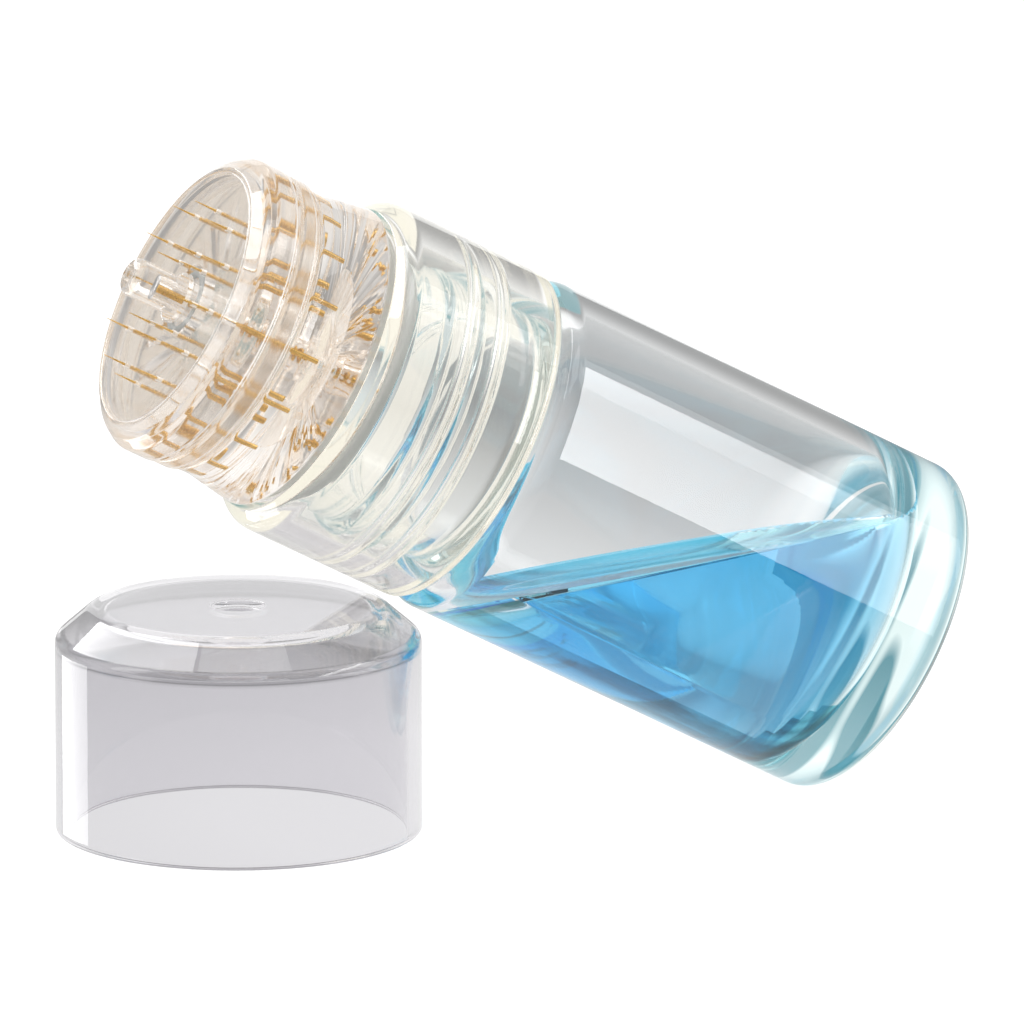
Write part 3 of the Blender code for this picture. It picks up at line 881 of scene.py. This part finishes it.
def build_floor():
    """Pale to the camera; to the clear pieces, a painted light sweep, bright near the middle, that fades with
    distance.
    """
    tool = bmesh.new()
    bmesh.ops.create_circle(tool, cap_ends=True, radius=6.0, segments=64)
    floor = mesh_object("floor", tool)
    material, nodes, links, shader, output = new_material("pale_floor")
    shader.inputs["Base Color"].default_value = (0.93, 0.93, 0.93, 1)
    shader.inputs["Roughness"].default_value = 0.9
    shader.inputs["Specular IOR Level"].default_value = 0.1
    shader.inputs["Emission Color"].default_value = (1, 1, 1, 1)
    shader.inputs["Emission Strength"].default_value = 0.12
    where = nodes.new("ShaderNodeNewGeometry")
    reach = length(nodes, links, where.outputs["Position"])
    # painted light: to all but camera rays the floor glows, bright near the middle and fading with distance
    fade = remap(nodes, links, reach, FLOOR_NEAR, FLOOR_FAR, FLOOR_FADE_START, FLOOR_FADE_END)
    path = nodes.new("ShaderNodeLightPath")
    sweep = emission(nodes, links, (1, 1, 1), fade)
    surface = mix_shader(nodes, links, path.outputs["Is Camera Ray"], sweep, shader.outputs["BSDF"])
    links.new(surface, output.inputs["Surface"])
    floor.data.materials.append(material)


def build_world():
    """White to the camera; to the clear pieces, a studio that is grey low down and bright above."""
    world = bpy.data.worlds.new("studio")
    bpy.context.scene.world = world
    world.use_nodes = True
    nodes = world.node_tree.nodes
    links = world.node_tree.links
    background = nodes["Background"]
    background.inputs["Color"].default_value = (1, 1, 1, 1)
    where = nodes.new("ShaderNodeTexCoord")
    split = nodes.new("ShaderNodeSeparateXYZ")
    links.new(where.outputs["Generated"], split.inputs["Vector"])
    height = nodes.new("ShaderNodeMapRange")
    height.interpolation_type = "SMOOTHSTEP"
    height.inputs["From Min"].default_value = 0.05
    height.inputs["From Max"].default_value = 0.65
    height.inputs["To Min"].default_value = FLOOR_FAR
    height.inputs["To Max"].default_value = SKY
    links.new(split.outputs["Z"], height.inputs["Value"])
    path = nodes.new("ShaderNodeLightPath")
    pick = nodes.new("ShaderNodeMix")
    pick.data_type = "FLOAT"
    links.new(path.outputs["Is Camera Ray"], pick.inputs[0])
    links.new(height.outputs["Result"], pick.inputs[2])
    pick.inputs[3].default_value = 1.0
    links.new(pick.outputs[0], background.inputs["Strength"])


def add_softbox(name, azimuth, elevation, distance, width, height, power):
    lamp = bpy.data.lights.new(name, "AREA")
    lamp.shape = "RECTANGLE"
    lamp.size = width
    lamp.size_y = height
    lamp.energy = power
    light = bpy.data.objects.new(name, lamp)
    bpy.context.scene.collection.objects.link(light)
    direction = toward(radians(azimuth), radians(elevation))
    light.location = VIEW_TARGET + direction * distance
    light.rotation_euler = direction.to_track_quat("Z", "Y").to_euler()


CAMERA_PLACE = VIEW_TARGET + toward(VIEW_AZIMUTH, VIEW_ELEVATION) * VIEW_DISTANCE
CARD_CLEARANCE = 0.0003
CARD_DISTANCE = 0.2


def mirrored_card(name, place, radius, angles, stations, strength, slopes=(0, 0), fade=1.0):
    """A light card that the camera sees mirrored in a round wall, and nowhere else.

    The angles are measured round the wall from its line nearest the camera, upper side first.
    The slopes say how far the wall leans back at each station, as on a cone.  The fade is the
    share of the strength that is left at the first station.
    """
    inverse = place.inverted()
    eye = inverse @ CAMERA_PLACE
    facing = Vector((eye.x, eye.y, 0)).normalized()
    across = Vector((0, 0, 1)).cross(facing)
    if (place.to_3x3() @ across).z < 0:
        across.negate()
    tool = bmesh.new()
    share = tool.verts.layers.float.new("share")
    before = None
    for angle in angles:
        outward = facing * cos(radians(angle)) + across * sin(radians(angle))
        ring = []
        for station, slope in zip(stations, slopes):
            normal = outward * cos(radians(slope)) + Vector((0, 0, sin(radians(slope))))
            spot = outward * radius * MM + Vector((0, 0, station * MM))
            sight = (spot - eye).normalized()
            bounce = place.to_3x3() @ (sight - 2 * sight.dot(normal) * normal)
            start = place @ spot
            reach = CARD_DISTANCE
            if bounce.z < 0:
                reach = min(reach, (start.z - CARD_CLEARANCE) / -bounce.z)
            ring.append(tool.verts.new(start + bounce * reach))
        ring[0][share] = fade
        ring[1][share] = 1.0
        if before:
            tool.faces.new((before[0], before[1], ring[1], ring[0]))
        before = ring
    light_card(mesh_object(name, tool), strength)


def flat_card(name, centre, normal, distance, side, strength):
    """A square light card that the camera sees mirrored in a flat face."""
    sight = (centre - CAMERA_PLACE).normalized()
    bounce = sight - 2 * sight.dot(normal) * normal
    turn = bounce.to_track_quat("Z", "Y").to_matrix().to_4x4()
    place = Matrix.Translation(centre + bounce * distance) @ turn
    tool = bmesh.new()
    bmesh.ops.create_grid(tool, x_segments=1, y_segments=1, size=side / 2, matrix=place)
    light_card(mesh_object(name, tool), strength)


def light_card(card, strength):
    """Makes a mesh shine into mirror reflections only."""
    material, nodes, links, _, output = new_material(card.name)
    if "share" in card.data.attributes:
        share = nodes.new("ShaderNodeAttribute")
        share.attribute_name = "share"
        strength = maths(nodes, links, "MULTIPLY", share.outputs["Fac"], strength)
    links.new(emission(nodes, links, (1, 1, 1), strength), output.inputs["Surface"])
    card.data.materials.append(material)
    card.visible_camera = False
    card.visible_diffuse = False
    card.visible_transmission = False
    card.visible_shadow = False


CAP_RADIUS = 12.85
SHOULDER_RADIUS = 11.6


def build_cards():
    mirrored_card("window_card", BOTTLE, body_radius, angles=range(6, 40, 3), stations=(-3, 35.2),
                  strength=10.5, fade=0.2)
    mirrored_card("cap_card", CAP, CAP_RADIUS, angles=range(-73, -54, 2), stations=(0.5, 13.5),
                  strength=4.0)
    mirrored_card("shoulder_card", CAP, SHOULDER_RADIUS, angles=range(-66, -13, 4),
                  stations=(13.9, 15.9), strength=6.0, slopes=(43, 62))
    top_centre = CAP @ Vector((0, 0, extent("overcap", CAP)[1] * MM))
    flat_card("top_card", top_centre, Vector((0, 0, 1)), distance=0.2, side=0.12, strength=1.25)
    face_centre = BOTTLE @ Vector((0, 0, extent("face_disc")[1] * MM))
    flat_card("face_card", face_centre, BOTTLE_AXIS, distance=0.25, side=0.2, strength=0.35)


def build_lights():
    add_softbox("top_softbox", 0, 80, 0.9, 0.5, 0.4, 1.2)
    add_softbox("left_softbox", -95, 25, 0.7, 0.25, 0.5, 0.7)
    add_softbox("right_softbox", 75, 30, 0.8, 0.2, 0.5, 0.5)


def build_camera():
    data = bpy.data.cameras.new("camera")
    data.sensor_width = SENSOR_WIDTH
    data.lens = SENSOR_WIDTH * VIEW_DISTANCE / VIEW_WIDTH
    data.clip_start = 0.01
    camera = bpy.data.objects.new("camera", data)
    bpy.context.scene.collection.objects.link(camera)
    direction = toward(VIEW_AZIMUTH, VIEW_ELEVATION)
    camera.location = CAMERA_PLACE
    camera.rotation_euler = direction.to_track_quat("Z", "Y").to_euler()
    bpy.context.scene.camera = camera


def set_light_paths():
    scene = bpy.context.scene
    scene.view_settings.view_transform = "Standard"
    scene.cycles.max_bounces = 32
    scene.cycles.transmission_bounces = 28
    scene.cycles.glossy_bounces = 28
    scene.cycles.transparent_max_bounces = 40
    scene.cycles.caustics_refractive = False
    scene.cycles.caustics_reflective = False
    scene.cycles.use_denoising = True


build_bottle()
build_serum()
build_collar()
build_gasket()
build_waist_ring()
build_silicone_ring()
build_front_ring()
build_face()
build_holder()
build_needles()
build_valve_body()
build_spring_seat()
build_plunger_seal()
build_button()
build_push_rod()
build_ball()
build_spring()
build_overcap()
build_floor()
build_world()
build_cards()
build_lights()
build_camera()
set_light_paths()
